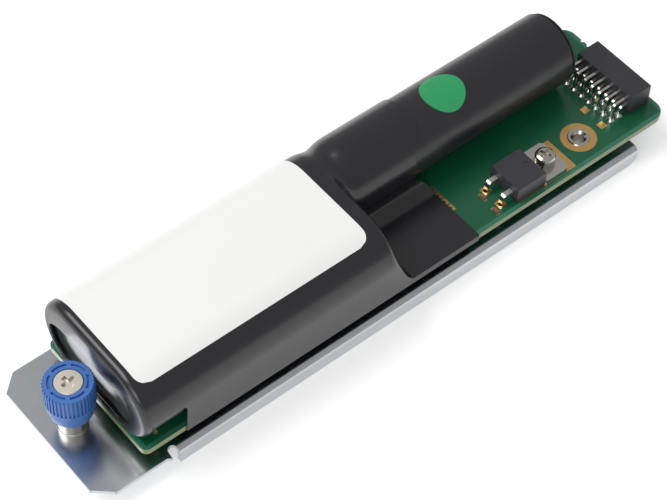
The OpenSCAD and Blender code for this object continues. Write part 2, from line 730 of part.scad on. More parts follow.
// Rings of one face of the film, with inset o, from its front opening to its rear edge
function film_rings(o) = let (
        r = film_front_r - o, low_r = lip_round - o, x = film_x + o, shift = o > 0 ? drape_shift : 0,
        full = full_section(o), rear = rear_section(o),
        drape_start = front_end_x + film_clear - shift, drape_end = rear_x - film_clear - shift) concat(
    [ring(film_x + mouth_depth, mouth_section(o)),
        ring(x + 0.12, mouth_section(0.12 + 0.8 * o)),
        ring(x, mouth_section(0.4 + 0.3 * o))],
    [for (k = [0:n_round]) let (a = 90 * k / n_round)
        ring(x + r * (1 - cos(a)), lip_section(o + r * (1 - sin(a)), o + low_r * (1 - sin(a))))],
    [ring(x + cutout_len * 0.5, lip_section(o, o)), ring(x + cutout_len * 0.6, full)],
    [for (k = [0:n_drape]) let (t = k / n_drape)
        ring(lerp(drape_start, drape_end, t), lerp(full, rear, smooth(t)))],
    [for (t = [0.5, 1]) [for (p = rear) [lerp(rear_x, rear_edge_x(p), t), p[0], p[1]]]]);

// Skin between its outer and its inner face
module film_skin() {
    outer = film_rings(0);
    inner = film_rings(film_t);
    rings = concat(outer, [for (i = [len(inner) - 1:-1:0]) inner[i]]);
    n = len(rings[0]);
    count = len(rings);
    faces = [for (k = [0:count - 1], i = [0:n - 1]) let (a = k * n, b = (k + 1) % count * n, j = (i + 1) % n)
        each [[a + i, b + j, b + i], [a + i, a + j, b + j]]];
    polyhedron([for (r = rings) each r], faces, convexity = 10);
}

module shrink_film() {
    cut_x = front_x - strap_t - film_clear;
    cut_end = film_x + cutout_len;
    cut_top = cell_z - 0.2;
    color("#2b2b30") difference() {
        film_skin();
        // The film is cut away beside the board's front corners, below the cells' middle
        side_profile(film_edge_y * 4) difference() {
            translate([cut_x, film_under - 1]) square([cut_end - cut_x, cut_top - film_under + 1]);
            translate([cut_end - cutout_round, cut_top - cutout_round]) difference() {
                square(cutout_round + 1);
                circle(cutout_round);
            }
        }
    }
}

// ---- Labels ----

// Part of a ring between two angles
module ring_part(centre, r, t, a0, a1) {
    reach = 3 * (r + t);
    translate(centre) intersection() {
        difference() {
            circle(r + t);
            circle(r);
        }
        polygon([[0, 0], for (a = [a0, (a0 + a1) / 2, a1]) reach * [cos(a), sin(a)]]);
    }
}

module battery_label() {
    gap = 0.01;
    r = film_r + gap;
    corner = 3;
    x = front_x + label_setback;
    label_len = cell_len - label_setback - label_margin;
    near_y = -cell_y + r * cos(label_near);
    far_z = cell_z + r * sin(label_far);
    color("white") intersection() {
        cross_profile(x, label_len) {
            ring_part([-cell_y, cell_z], r, label_t, 90, label_near);
            translate([-cell_y, cell_z + r]) square([cell_pitch, label_t]);
            ring_part([cell_y, cell_z], r, label_t, label_far, 90);
        }
        translate([x, near_y, 0]) linear_extrude(3 * cell_z)
            round_rect([label_len, cell_pitch + 4 * r], corner);
        side_profile(6 * cell_pitch) translate([x, far_z]) round_rect([label_len, 3 * r], corner);
    }
}

// Round sticker on top of the rear cell
module check_sticker() {
    tilt = 4;
    gap = 0.005;
    r = cell_r + gap;
    x = film_end_x + sticker_x;
    color("mediumseagreen") intersection() {
        cross_profile(x - sticker_d, 2 * sticker_d) ring_part([cell_y, cell_z], r, label_t, 40, 150);
        translate([x, cell_y, cell_z]) rotate([tilt, 0, 0]) cylinder(d = sticker_d, h = 2 * r);
    }
}

// ---- Small parts on the board ----

// Temperature sensor in the valley between the front cells, with two wires to the board
module thermistor() {
    bead_r = 1.1;
    bead_len = 4;
    wire_d = 0.4;
    bead_z = cell_z - sqrt(pow(cell_r + bead_r + 0.02, 2) - pow(cell_y, 2));
    color("black") {
        bar_x([thermistor_x, 0, bead_z], bead_r, bead_len);
        for (side = [-1, 1]) translate([thermistor_x + bead_len - 1, side * bead_r * 0.5, board_top])
            cylinder(d = wire_d, h = bead_z - board_top);
    }
}

// Small-outline chip with four gull-wing leads on each side
module monitor_chip() {
    body = [4.9, 3.9, 1.35];
    lead = [0.4, 1, 0.18];
    pitch = 1.27;
    color("black") translate([monitor_x, 0, board_top]) {
        translate([-body[0] / 2, -body[1] / 2, 0.15]) cube(body);
        for (i = [-1.5:1.5], side = [0, 1]) mirror([0, side])
            translate([i * pitch - lead[0] / 2, body[1] / 2, 0]) {
                cube(lead);
                cube([lead[0], lead[2], 0.8]);
            }
    }
}

// Chip resistors beside the transistor's leads
module chip_parts() {
    color("dimgray") for (p = chip_ends)
        translate([p[0] - chip_size[0] / 2, p[1] - chip_size[1] / 2, board_top + pad_t]) cube(chip_size);
}

// ---- Power transistor ----

module transistor_body() {
    draft = 0.25;
    lift = pad_t + 0.02;
    mid = tab_t + 0.9;
    dimple_r = 0.8;
    color("#303034") translate([fet_pos[0], -fet_y, board_top]) difference() {
        side_profile(fet_size[1]) polygon([[draft, lift], [0, mid], [draft, fet_h],
            [fet_size[0] - draft, fet_h], [fet_size[0], mid], [fet_size[0], lift + tab_t],
            [fet_size[0] - draft, lift + tab_t], [fet_size[0] - draft, lift]]);
        translate([fet_size[0] - 2.1, 0.2, fet_h - 0.15]) cylinder(r = dimple_r, h = 1);
        // The tab's metal reaches into the body's underside
        translate([1.5, -fet_size[1] / 2 + 0.8, 0]) cube([fet_size[0], fet_size[1] - 1.6, lift + tab_t]);
    }
}

module transistor_tab() {
    inset = 0.05;
    start = 1.5 + inset;
    tab_w = fet_size[1] + 0.4;
    len_x = fet_size[0] + tab_len;
    color("gainsboro") translate([fet_pos[0], -fet_y, board_top + pad_t]) difference() {
        union() {
            translate([start, -fet_size[1] / 2 + 0.8 + inset, 0])
                cube([len_x - start, fet_size[1] - 1.6 - 2 * inset, tab_t]);
            translate([fet_size[0] + inset, -tab_w / 2, 0]) linear_extrude(tab_t)
                polygon([[0, 0.4], [0.4, 0], [tab_len - 0.8 - inset, 0], [tab_len - inset, 0.8],
                    [tab_len - inset, tab_w - 0.8], [tab_len - 0.8 - inset, tab_w], [0.4, tab_w],
                    [0, tab_w - 0.4]]);
        }
        translate([fet_screw[0] - fet_pos[0], 0, -eps]) cylinder(d = fix_d + 0.6, h = tab_t + 1);
    }
}

// Flat lead that leaves the body along -X, bends down and goes through the board
module flat_lead(y) {
    w = lead_size[0];
    t = lead_size[1];
    translate([fet_pos[0], y, board_top + lead_z]) {
        translate([-lead_reach + lead_bend + t, -w / 2, 0]) cube([lead_reach - lead_bend - t - 0.01, w, t]);
        translate([-lead_reach + lead_bend + t, w / 2, -lead_bend]) rotate([90, 0, 0])
            rotate(90) rotate_extrude(angle = 90) translate([lead_bend, 0]) square([t, w]);
        translate([-lead_reach, -w / 2, -lead_z - board_t - 0.6])
            cube([t, w, lead_z + board_t + 0.6 - lead_bend]);
    }
}

module transistor_leads() {
    color("silver") for (y = lead_ys) flat_lead(y);
}

// Places its children on the fixing screw's axis, at a height above the tab
module on_tab(height) {
    translate([fet_screw[0], fet_screw[1], board_top + pad_t + tab_t + height]) children();
}

module flat_washer() {
    color("silver") on_tab(0) difference() {
        cylinder(d = fix_head_d + 0.5, h = flat_washer_t);
        translate([0, 0, -eps]) cylinder(d = fix_d + 0.2, h = 1);
    }
}

module spring_washer() {
    color("silver") on_tab(flat_washer_t) difference() {
        cylinder(d = fix_head_d, h = spring_washer_t);
        translate([0, 0, -eps]) cylinder(d = fix_d + 0.2, h = spring_washer_t + 1);
        rotate(215) translate([0, -0.25, -eps]) cube([fix_head_d, 0.5, spring_washer_t + 1]);
    }
}

module fixing_screw() {
    reach = pad_t + tab_t + flat_washer_t + spring_washer_t + board_t + nut_t + 0.4;
    r = fix_head_d / 2;
    color("silver") on_tab(flat_washer_t + spring_washer_t) difference() {
        rotate_extrude() polygon([[0, -reach], [fix_d / 2 - 0.3, -reach], [fix_d / 2, -reach + 0.3],
            [fix_d / 2, 0], [r, 0], [r, fix_head_t * 0.55], [r - 0.25, fix_head_t * 0.82],
            [r - 0.8, fix_head_t], [0, fix_head_t]]);
        translate([0, 0, fix_head_t]) rotate(20) cross_recess(0.7, fix_head_d * 0.58, 1);
    }
}

module fixing_nut() {
    color("silver") translate([fet_screw[0], fet_screw[1], board_z - nut_t]) difference() {
        cylinder(d = nut_across / cos(30), h = nut_t, $fn = 6);
        translate([0, 0, -eps]) cylinder(d = fix_d + 0.02, h = nut_t + 1);
    }
}

// ---- Connector ----

module connector_housing() {
    color("#26262a") translate(housing_pos) difference() {
        side_profile(housing_size[1]) translate([0, 0.02]) square([housing_size[0], housing_size[2] - 0.02]);
        for (y = pin_ys, z = [lower_z, upper_z]) translate([0, y + housing_y, z]) {
            // Passage for the contact and square mouth for the mating pin
            translate([-1, -pin_w / 2, -pin_w / 2]) cube([housing_size[0], pin_w, pin_w]);
            translate([housing_size[0] - socket_depth, -socket_w / 2, -socket_w / 2])
                cube([socket_depth + 1, socket_w, socket_w]);
        }
        // Stand-off relief under the front edge
        translate([-1, -housing_size[1] / 2 + 1, -1]) cube([2, housing_size[1] - 2, 1.4]);
    }
}

// Square contact: leaves the housing along -X, bends down, and goes through the board
module contact(y, z, reach) {
    tail = board_t + 1;
    inner = pin_bend - pin_w / 2;
    translate([housing_pos[0], y, board_top]) {
        translate([-reach + pin_w / 2 + pin_bend, -pin_w / 2, z - pin_w / 2])
            cube([reach - pin_w / 2 - pin_bend + housing_size[0] - socket_depth + 1.2, pin_w, pin_w]);
        translate([-reach + pin_w / 2 + pin_bend, pin_w / 2, z - pin_bend]) rotate([90, 0, 0])
            rotate(90) rotate_extrude(angle = 90) translate([inner, 0]) square(pin_w);
        translate([-reach, -pin_w / 2, -tail]) cube([pin_w, pin_w, z - pin_bend + tail]);
    }
}

module upper_contacts() {
    color("silver") for (y = pin_ys) contact(y, upper_z, upper_reach);
}

module lower_contacts() {
    color("silver") for (y = pin_ys) contact(y, lower_z, lower_reach);
}

tray();
board_standoffs();
screw_ferrule();
screw_spring();
thumb_knob();
captive_screw();
circuit_board();
board_pads();
solder_joints();
cell_front_near();
cell_front_far();
cell_rear();
sleeve_front_near();
sleeve_front_far();
sleeve_rear();
cell_tapes();
strap_front();
strap_middle();
strap_rear();
insulator_front();
insulator_rear();
shrink_film();
battery_label();
check_sticker();
thermistor();
monitor_chip();
chip_parts();
transistor_body();
transistor_tab();
transistor_leads();
fixing_screw();
spring_washer();
flat_washer();
fixing_nut();
connector_housing();
upper_contacts();
lower_contacts();
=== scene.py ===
"""Dressed model of a disk controller's backup battery module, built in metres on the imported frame."""

import logging
import math
import random
from dataclasses import dataclass
from enum import Enum
from typing import Callable, Sequence

import bmesh
import bpy
from mathutils import Matrix, Vector, noise


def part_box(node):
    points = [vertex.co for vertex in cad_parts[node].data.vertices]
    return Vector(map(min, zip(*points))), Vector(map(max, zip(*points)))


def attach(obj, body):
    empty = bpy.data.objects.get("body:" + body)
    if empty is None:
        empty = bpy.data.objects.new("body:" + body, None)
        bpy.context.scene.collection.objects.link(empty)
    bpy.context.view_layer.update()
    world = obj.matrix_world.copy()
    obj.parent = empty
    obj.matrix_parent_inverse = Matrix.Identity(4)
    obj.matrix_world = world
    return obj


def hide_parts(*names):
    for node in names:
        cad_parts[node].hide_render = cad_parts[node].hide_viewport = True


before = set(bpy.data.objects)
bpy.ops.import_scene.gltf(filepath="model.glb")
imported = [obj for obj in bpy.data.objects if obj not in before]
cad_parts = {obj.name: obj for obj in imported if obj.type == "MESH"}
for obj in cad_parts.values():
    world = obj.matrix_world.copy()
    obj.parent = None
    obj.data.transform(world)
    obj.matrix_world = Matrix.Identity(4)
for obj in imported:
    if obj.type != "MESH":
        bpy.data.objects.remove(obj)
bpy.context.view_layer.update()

MM = 0.001
TRAY_BODY = "tray_assembly"
SCREW_BODY = "thumbscrew"
LOG = logging.getLogger("battery_module")

Point = tuple[float, float]
Section = list[Point]


# ---------------------------------------------------------------- shared helpers


def srgb(code: str) -> tuple[float, float, float, float]:
    """Turns an sRGB hex colour into the linear colour that a socket takes.

    Args:
        code: Six hex digits, with or without a leading hash.

    Returns:
        Linear red, green and blue, and an alpha of one.
    """
    digits = code.lstrip("#")
    values = [int(digits[i : i + 2], 16) / 255 for i in (0, 2, 4)]
    linear = [v / 12.92 if v <= 0.04045 else ((v + 0.055) / 1.055) ** 2.4 for v in values]
    return (linear[0], linear[1], linear[2], 1.0)


def add_node(
    tree: bpy.types.NodeTree,
    kind: str,
    settings: dict[str | int, object] | None = None,
    links: dict[str | int, bpy.types.NodeSocket] | None = None,
    **attributes: object,
) -> bpy.types.Node:
    """Adds one node with its settings and links.

    Args:
        tree: The tree that gets the node.
        kind: The node's class name.
        settings: Values for input sockets, by name or number.
        links: Output sockets to link to input sockets, by name or number.
        **attributes: Properties of the node itself.

    Returns:
        The new node.
    """
    node = tree.nodes.new(kind)
    for key, value in attributes.items():
        setattr(node, key, value)
    for socket, value in (settings or {}).items():
        node.inputs[socket].default_value = value
    for socket, source in (links or {}).items():
        tree.links.new(source, node.inputs[socket])
    return node


def mesh_object(name: str, vertices: Sequence[Sequence[float]], faces: Sequence[Sequence[int]],
                smooth: bool = False) -> bpy.types.Object:
    """Makes a mesh object at the origin from points in millimetres.

    Args:
        name: The object's name.
        vertices: Points in the row frame, in millimetres.
        faces: Faces as lists of vertex numbers.
        smooth: Whether the faces are shaded smooth.

    Returns:
        The new object, linked to the scene.
    """
    mesh = bpy.data.meshes.new(name)
    mesh.from_pydata([Vector(v) * MM for v in vertices], [], [list(f) for f in faces])
    mesh.update()
    mesh.polygons.foreach_set("use_smooth", [smooth] * len(mesh.polygons))
    obj = bpy.data.objects.new(name, mesh)
    bpy.context.scene.collection.objects.link(obj)
    return obj


def apply_modifiers(obj: bpy.types.Object) -> None:
    """Turns an object's evaluated form into its plain mesh and drops its modifiers.

    Args:
        obj: The object to finish.
    """
    graph = bpy.context.evaluated_depsgraph_get()
    graph.update()
    final = bpy.data.meshes.new_from_object(obj.evaluated_get(graph), depsgraph=graph)
    old = obj.data
    obj.modifiers.clear()
    obj.data = final
    final.name = obj.name
    bpy.data.meshes.remove(old)


def point_outwards(obj: bpy.types.Object) -> None:
    """Merges an object's doubles and turns its faces outwards.

    Args:
        obj: The object to mend.
    """
    shell = bmesh.new()
    shell.from_mesh(obj.data)
    bmesh.ops.remove_doubles(shell, verts=shell.verts, dist=1e-7)
    bmesh.ops.recalc_face_normals(shell, faces=shell.faces)
    shell.to_mesh(obj.data)
    shell.free()


def finish_piece(obj: bpy.types.Object, material: bpy.types.Material, body: str) -> None:
    """Gives a piece its material and its body, and reports it.

    Args:
        obj: The piece.
        material: Its material.
        body: The CAD body that it rides on.
    """
    obj.data.materials.clear()
    obj.data.materials.append(material)
    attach(obj, body)
    LOG.info("%s: %d faces on %s", obj.name, len(obj.data.polygons), body)


def dress_node(name: str, material: bpy.types.Material) -> None:
    """Assigns a material to every slot of a CAD node.

    Args:
        name: The node.
        material: Its material.
    """
    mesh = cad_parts[name].data
    if not mesh.materials:
        mesh.materials.append(material)
    for i in range(len(mesh.materials)):
        mesh.materials[i] = material
    LOG.info("%s: %s", name, material.name)


def box_mm(name: str) -> tuple[Vector, Vector]:
    """Corners of a CAD node's box in millimetres.

    Args:
        name: The node.

    Returns:
        Its lowest and its highest corner.
    """
    low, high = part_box(name)
    return low / MM, high / MM


def lerp(a: float, b: float, t: float) -> float:
    """Value at share t of the way from a to b."""
    return a + (b - a) * t


def smooth(t: float) -> float:
    """Smooth step from 0 to 1 as t goes from 0 to 1."""
    u = min(max(t, 0.0), 1.0)
    return u * u * (3 - 2 * u)


# ---------------------------------------------------------------- finishes


@dataclass(frozen=True)
class Finish:
    """A real material and its surface: colours, gloss and the grain of its process."""

    name: str
    colour: str
    tint: str
    roughness: float
    metallic: float = 0.0
    ior: float = 1.5
    rough_spread: float = 0.05
    grain_mm: float = 1.0
    cloud_mm: float = 12.0
    relief_mm: float = 0.0
    coat: float = 0.0
    coat_roughness: float = 0.1
    stretch: tuple[float, float, float] = (1.0, 1.0, 1.0)

    def coordinates(self, tree: bpy.types.NodeTree, size_mm: float) -> bpy.types.NodeSocket:
        """Object coordinates scaled so that one unit is the given size.

        Args:
            tree: The material's tree.
            size_mm: Length of one pattern unit.

        Returns:
            The scaled coordinate socket.
        """
        place = add_node(tree, "ShaderNodeTexCoord")
        scale = [s / (size_mm * MM) for s in self.stretch]
        return add_node(tree, "ShaderNodeMapping", {"Scale": scale}, {"Vector": place.outputs["Object"]}).outputs[0]

    def colour_socket(self, tree: bpy.types.NodeTree) -> bpy.types.NodeSocket:
        """Soft clouds between the colour and its tint.

        Args:
            tree: The material's tree.

        Returns:
            The colour socket.
        """
        cloud = add_node(tree, "ShaderNodeTexNoise", {"Scale": 1.0, "Detail": 3.0},
                         {"Vector": self.coordinates(tree, self.cloud_mm)})
        mix = add_node(tree, "ShaderNodeMix", {6: srgb(self.colour), 7: srgb(self.tint)},
                       {0: cloud.outputs["Fac"]}, data_type="RGBA")
        return mix.outputs[2]

    def relief_socket(self, tree: bpy.types.NodeTree) -> bpy.types.NodeSocket:
        """Height of the surface's grain.

        Args:
            tree: The material's tree.

        Returns:
            The height socket, from 0 to 1.
        """
        grain = add_node(tree, "ShaderNodeTexNoise", {"Scale": 1.0, "Detail": 4.0},
                         {"Vector": self.coordinates(tree, self.grain_mm)})
        return grain.outputs["Fac"]

    def build(self) -> bpy.types.Material:
        """Makes the material.

        Returns:
            The finished material.
        """
        material = bpy.data.materials.new(self.name)
        material.use_nodes = True
        tree = material.node_tree
        shader = tree.nodes["Principled BSDF"]
        shader.inputs["Metallic"].default_value = self.metallic
        shader.inputs["IOR"].default_value = self.ior
        shader.inputs["Coat Weight"].default_value = self.coat
        shader.inputs["Coat Roughness"].default_value = self.coat_roughness
        tree.links.new(self.colour_socket(tree), shader.inputs["Base Color"])
        height = self.relief_socket(tree)
        gloss = add_node(tree, "ShaderNodeMapRange",
                         {"To Min": self.roughness - self.rough_spread, "To Max": self.roughness + self.rough_spread},
                         {"Value": height})
        tree.links.new(gloss.outputs[0], shader.inputs["Roughness"])
        if self.relief_mm > 0:
            bump = add_node(tree, "ShaderNodeBump", {"Strength": 1.0, "Distance": self.relief_mm * MM},
                            {"Height": height})
            tree.links.new(bump.outputs[0], shader.inputs["Normal"])
        material.diffuse_color = srgb(self.colour)
        return material


@dataclass(frozen=True)
class SolderMask(Finish):
    """Green lacquer over copper and glass fibre: bare laminate shows on the cut edges."""

    laminate: str = "#7E8A5A"
    plane: str = "#2F6E56"
    edge_gap_mm: float = 1.15

    def colour_socket(self, tree: bpy.types.NodeTree) -> bpy.types.NodeSocket:
        """Lacquer with a paler copper-free rim, and laminate on the edges.

        Args:
            tree: The material's tree.

        Returns:
            The colour socket.
        """
        lacquer = super().colour_socket(tree)
        low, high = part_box("circuit_board")
        place = add_node(tree, "ShaderNodeTexCoord").outputs["Object"]
        centred = add_node(tree, "ShaderNodeVectorMath", {1: (low + high) / 2}, {0: place}, operation="SUBTRACT")
        inside = add_node(tree, "ShaderNodeVectorMath", {}, {0: centred.outputs[0]}, operation="ABSOLUTE")
        half = (high - low) / 2 - Vector((1, 1, 0)) * self.edge_gap_mm * MM
        past = add_node(tree, "ShaderNodeVectorMath", {1: half}, {0: inside.outputs[0]}, operation="SUBTRACT")
        parts = add_node(tree, "ShaderNodeSeparateXYZ", {}, {0: past.outputs[0]})
        reach = add_node(tree, "ShaderNodeMath", {}, {0: parts.outputs[0], 1: parts.outputs[1]}, operation="MAXIMUM")
        rim = add_node(tree, "ShaderNodeMapRange", {"From Min": -0.05 * MM, "From Max": 0.05 * MM},
                       {"Value": reach.outputs[0]})
        face = add_node(tree, "ShaderNodeMix", {7: srgb(self.plane)}, {0: rim.outputs[0], 6: lacquer},
                        data_type="RGBA")
        normal = add_node(tree, "ShaderNodeSeparateXYZ", {},
                          {0: add_node(tree, "ShaderNodeTexCoord").outputs["Normal"]})
        upright = add_node(tree, "ShaderNodeMath", {}, {0: normal.outputs[2]}, operation="ABSOLUTE")
        side = add_node(tree, "ShaderNodeMapRange", {"From Min": 0.6, "From Max": 0.4}, {"Value": upright.outputs[0]})
        mix = add_node(tree, "ShaderNodeMix", {7: srgb(self.laminate)}, {0: side.outputs[0], 6: face.outputs[2]},
                       data_type="RGBA")
        return mix.outputs[2]


@dataclass(frozen=True)
class ThreadedSteel(Finish):
    """Plated screw steel with thread grooves below a given height."""

    thread_top_mm: float = 0.0
    pitch_mm: float = 0.6

    def relief_socket(self, tree: bpy.types.NodeTree) -> bpy.types.NodeSocket:
        """Thread grooves along Z below the thread's top, fine grain above.

        Args:
            tree: The material's tree.

        Returns:
            The height socket, from 0 to 1.
        """
        grain = super().relief_socket(tree)
        place = add_node(tree, "ShaderNodeTexCoord").outputs["Object"]
        height = add_node(tree, "ShaderNodeSeparateXYZ", {}, {0: place}).outputs[2]
        phase = add_node(tree, "ShaderNodeMath", {1: 1 / (self.pitch_mm * MM)}, {0: height}, operation="MULTIPLY")
        groove = add_node(tree, "ShaderNodeMath", {1: 1.0}, {0: phase.outputs[0]}, operation="PINGPONG")
        below = add_node(tree, "ShaderNodeMath", {1: self.thread_top_mm * MM}, {0: height}, operation="LESS_THAN")
        mix = add_node(tree, "ShaderNodeMix", {}, {0: below.outputs[0], 2: grain, 3: groove.outputs[0]})
        return mix.outputs[0]


class Finishes(Enum):
    """Every finish of the module, named for its material and process."""

    # Zinc plated cold-rolled sheet: pale satin metal with a fine pickled grain and blurred reflections
    ZINC = Finish("zinc_plated_steel", "#C9CCCF", "#BDC1C6", 0.24, 1.0, rough_spread=0.05, grain_mm=0.5,
                  cloud_mm=14, relief_mm=0.004)
    # Turned steel with nickel plating: brighter and smoother than the sheet
    NICKEL = Finish("nickel_plated_steel", "#C8C4BC", "#B5B1A9", 0.2, 1.0, grain_mm=0.4, relief_mm=0.002)
    # Drawn spring wire, darker from its heat treatment
    WIRE = Finish("drawn_spring_steel", "#9A9A9A", "#828282", 0.3, 1.0, grain_mm=0.3)
    # Dull off-white nickel on the captive screw: soft, nearly white under the lamps
    SCREW = ThreadedSteel("electroless_nickel_screw", "#DDD6CB", "#CFC8BD", 0.42, 0.85, rough_spread=0.06,
                          grain_mm=0.5, relief_mm=0.03, thread_top_mm=3.6, pitch_mm=0.6)
    # Injection-moulded nylon, mid blue with the faint grain of its mould
    KNOB = Finish("moulded_blue_nylon", "#3F72BC", "#3A69B0", 0.42, 0.0, 1.53, 0.06, 0.25, 5, 0.004)
    # Solder mask over glass-fibre board: glossy lacquer with cloudy depth
    BOARD = SolderMask("green_solder_mask", "#115A3C", "#0D4D33", 0.24, 0.0, 1.52, 0.04, 0.6, 9, 0.003)
    # Tracks under the same lacquer show paler along their edges
    TRACK = Finish("masked_copper_track", "#3F8F70", "#357F63", 0.3, 0.0, 1.52, 0.04, 0.5, 6)
    # Immersion gold on copper pads
    GOLD = Finish("immersion_gold", "#E8BE7C", "#DFAE66", 0.3, 1.0, grain_mm=0.3, relief_mm=0.002)
    # Bright tin: solder and lead plating
    TIN = Finish("bright_tin", "#D2D0CC", "#BAB8B4", 0.22, 1.0, rough_spread=0.08, grain_mm=0.3, relief_mm=0.004)
    # Nickel plated deep-drawn can
    CAN = Finish("drawn_nickel_can", "#A9A9A6", "#9B9B98", 0.3, 1.0, grain_mm=0.5)
    # Shrunk PVC sleeve, near black and semi-gloss
    SLEEVE = Finish("shrunk_pvc_sleeve", "#232327", "#1C1C20", 0.3, 0.0, 1.53, 0.03, 3.0, 20, 0.004)
    # Shrunk polyester film, black with soft sheen and slow ripples
    FILM = Finish("shrunk_polyester_film", "#1E1E22", "#19191D", 0.25, 0.0, 1.57, 0.03, 4.0, 25, 0.006)
    # Acrylic foam tape, off-white
    TAPE = Finish("acrylic_foam_tape", "#DEDED9", "#D0D0CA", 0.7, 0.0, 1.48, 0.05, 0.4, 5)
    # Pure nickel strip, satin from rolling
    STRIP = Finish("rolled_nickel_strip", "#B7B3AA", "#A5A198", 0.28, 1.0, grain_mm=0.5, stretch=(1, 6, 1))
    # Vulcanised fibre sheet with a glossy face, grey
    FIBRE = Finish("grey_fibre_sheet", "#4B504F", "#3A3E3E", 0.16, 0.0, 1.5, 0.05, 3.0, 8)
    # Fish paper, matt black
    PAPER = Finish("black_fish_paper", "#1D1D1F", "#252527", 0.7, 0.0, 1.45, 0.05, 0.5, 4, 0.006)
    # Polyester label stock with a satin laminate, white
    LABEL = Finish("satin_white_label", "#F4F4F3", "#EEEEED", 0.34, 0.0, 1.5, 0.04, 1.2, 25, 0.001)
    # Thermal transfer ink, black and slightly glossy
    INK = Finish("black_transfer_ink", "#1A1A1C", "#242426", 0.45, 0.0, 1.5, 0.05, 0.6, 5)
    # Silver transfer ink
    SILVER_INK = Finish("silver_transfer_ink", "#C4C6C9", "#B9BBBE", 0.35, 0.3, 1.5, 0.05, 0.6, 9)
    # Green paper dot under a gloss laminate
    DOT = Finish("gloss_green_paper", "#2E9E63", "#289459", 0.28, 0.0, 1.5, 0.04, 0.8, 5)
    # White epoxy legend ink on the board
    LEGEND = Finish("white_legend_ink", "#E6E8E2", "#D5D8D1", 0.55, 0.0, 1.5, 0.05, 0.5, 3)
    # Moulded epoxy of the sensor and the chip, satin black
    EPOXY = Finish("moulded_black_epoxy", "#29292C", "#232326", 0.5, 0.0, 1.55, 0.06, 0.2, 3, 0.004)
    # Transistor's moulding compound: dark violet-grey, matt from its mould
    COMPOUND = Finish("transistor_mould_compound", "#34323A", "#2C2B32", 0.48, 0.0, 1.55, 0.06, 0.15, 3, 0.005)
    # Laser marking burnt pale into the compound
    MARKING = Finish("laser_marking", "#CFCFD2", "#B6B6BA", 0.6, 0.0, 1.5, 0.05, 0.3, 2)
    # Fired ceramic chip body
    CERAMIC = Finish("fired_ceramic_chip", "#7A5A44", "#6B4E3B", 0.5, 0.0, 1.6, 0.05, 0.2, 1)
    # Glass-filled nylon of the connector, matt black with a fine grain
    CONNECTOR = Finish("glass_filled_nylon", "#2E2E33", "#28282C", 0.5, 0.0, 1.53, 0.07, 0.18, 4, 0.006)

    def material(self) -> bpy.types.Material:
        """The finish's material, made on first use."""
        found = bpy.data.materials.get(self.value.name)
        return found if found else self.value.build()


NODE_FINISHES: dict[str, Finishes] = {
    "tray": Finishes.ZINC, "board_standoffs": Finishes.NICKEL, "screw_ferrule": Finishes.NICKEL,
    "screw_spring": Finishes.WIRE, "thumb_knob": Finishes.KNOB, "captive_screw": Finishes.SCREW,
    "circuit_board": Finishes.BOARD, "board_pads": Finishes.GOLD, "solder_joints": Finishes.TIN,
    "cell_front_near": Finishes.CAN, "cell_front_far": Finishes.CAN, "cell_rear": Finishes.CAN,
    "sleeve_front_near": Finishes.SLEEVE, "sleeve_front_far": Finishes.SLEEVE, "sleeve_rear": Finishes.SLEEVE,
    "cell_tapes": Finishes.TAPE, "strap_front": Finishes.STRIP, "strap_middle": Finishes.STRIP,
    "strap_rear": Finishes.STRIP, "insulator_front": Finishes.FIBRE, "insulator_rear": Finishes.PAPER,
    "check_sticker": Finishes.DOT, "thermistor": Finishes.EPOXY, "monitor_chip": Finishes.EPOXY,
    "chip_parts": Finishes.CERAMIC, "transistor_body": Finishes.COMPOUND, "transistor_tab": Finishes.TIN,
    "transistor_leads": Finishes.TIN, "fixing_screw": Finishes.NICKEL, "spring_washer": Finishes.NICKEL,
    "flat_washer": Finishes.NICKEL, "fixing_nut": Finishes.NICKEL, "connector_housing": Finishes.CONNECTOR,
    "upper_contacts": Finishes.TIN, "lower_contacts": Finishes.TIN,
}


# ---------------------------------------------------------------- cells and film


@dataclass
class CellPlaces:
    """Where the cells lie, in millimetres, read from the frame."""

    front_x: float
    front_end_x: float
    rear_x: float
    cell_y: float
    cell_z: float
    cell_r: float
    board_top: float

    @classmethod
    def from_frame(cls) -> "CellPlaces":
        """Reads the places from the sleeves' and the board's boxes."""
        near_low, near_high = box_mm("sleeve_front_near")
        rear_low, _ = box_mm("sleeve_rear")
        _, board_high = box_mm("circuit_board")
        return cls(near_low.x, near_high.x, rear_low.x, -(near_low.y + near_high.y) / 2,
                   (near_low.z + near_high.z) / 2, (near_high.z - near_low.z) / 2, board_high.z)


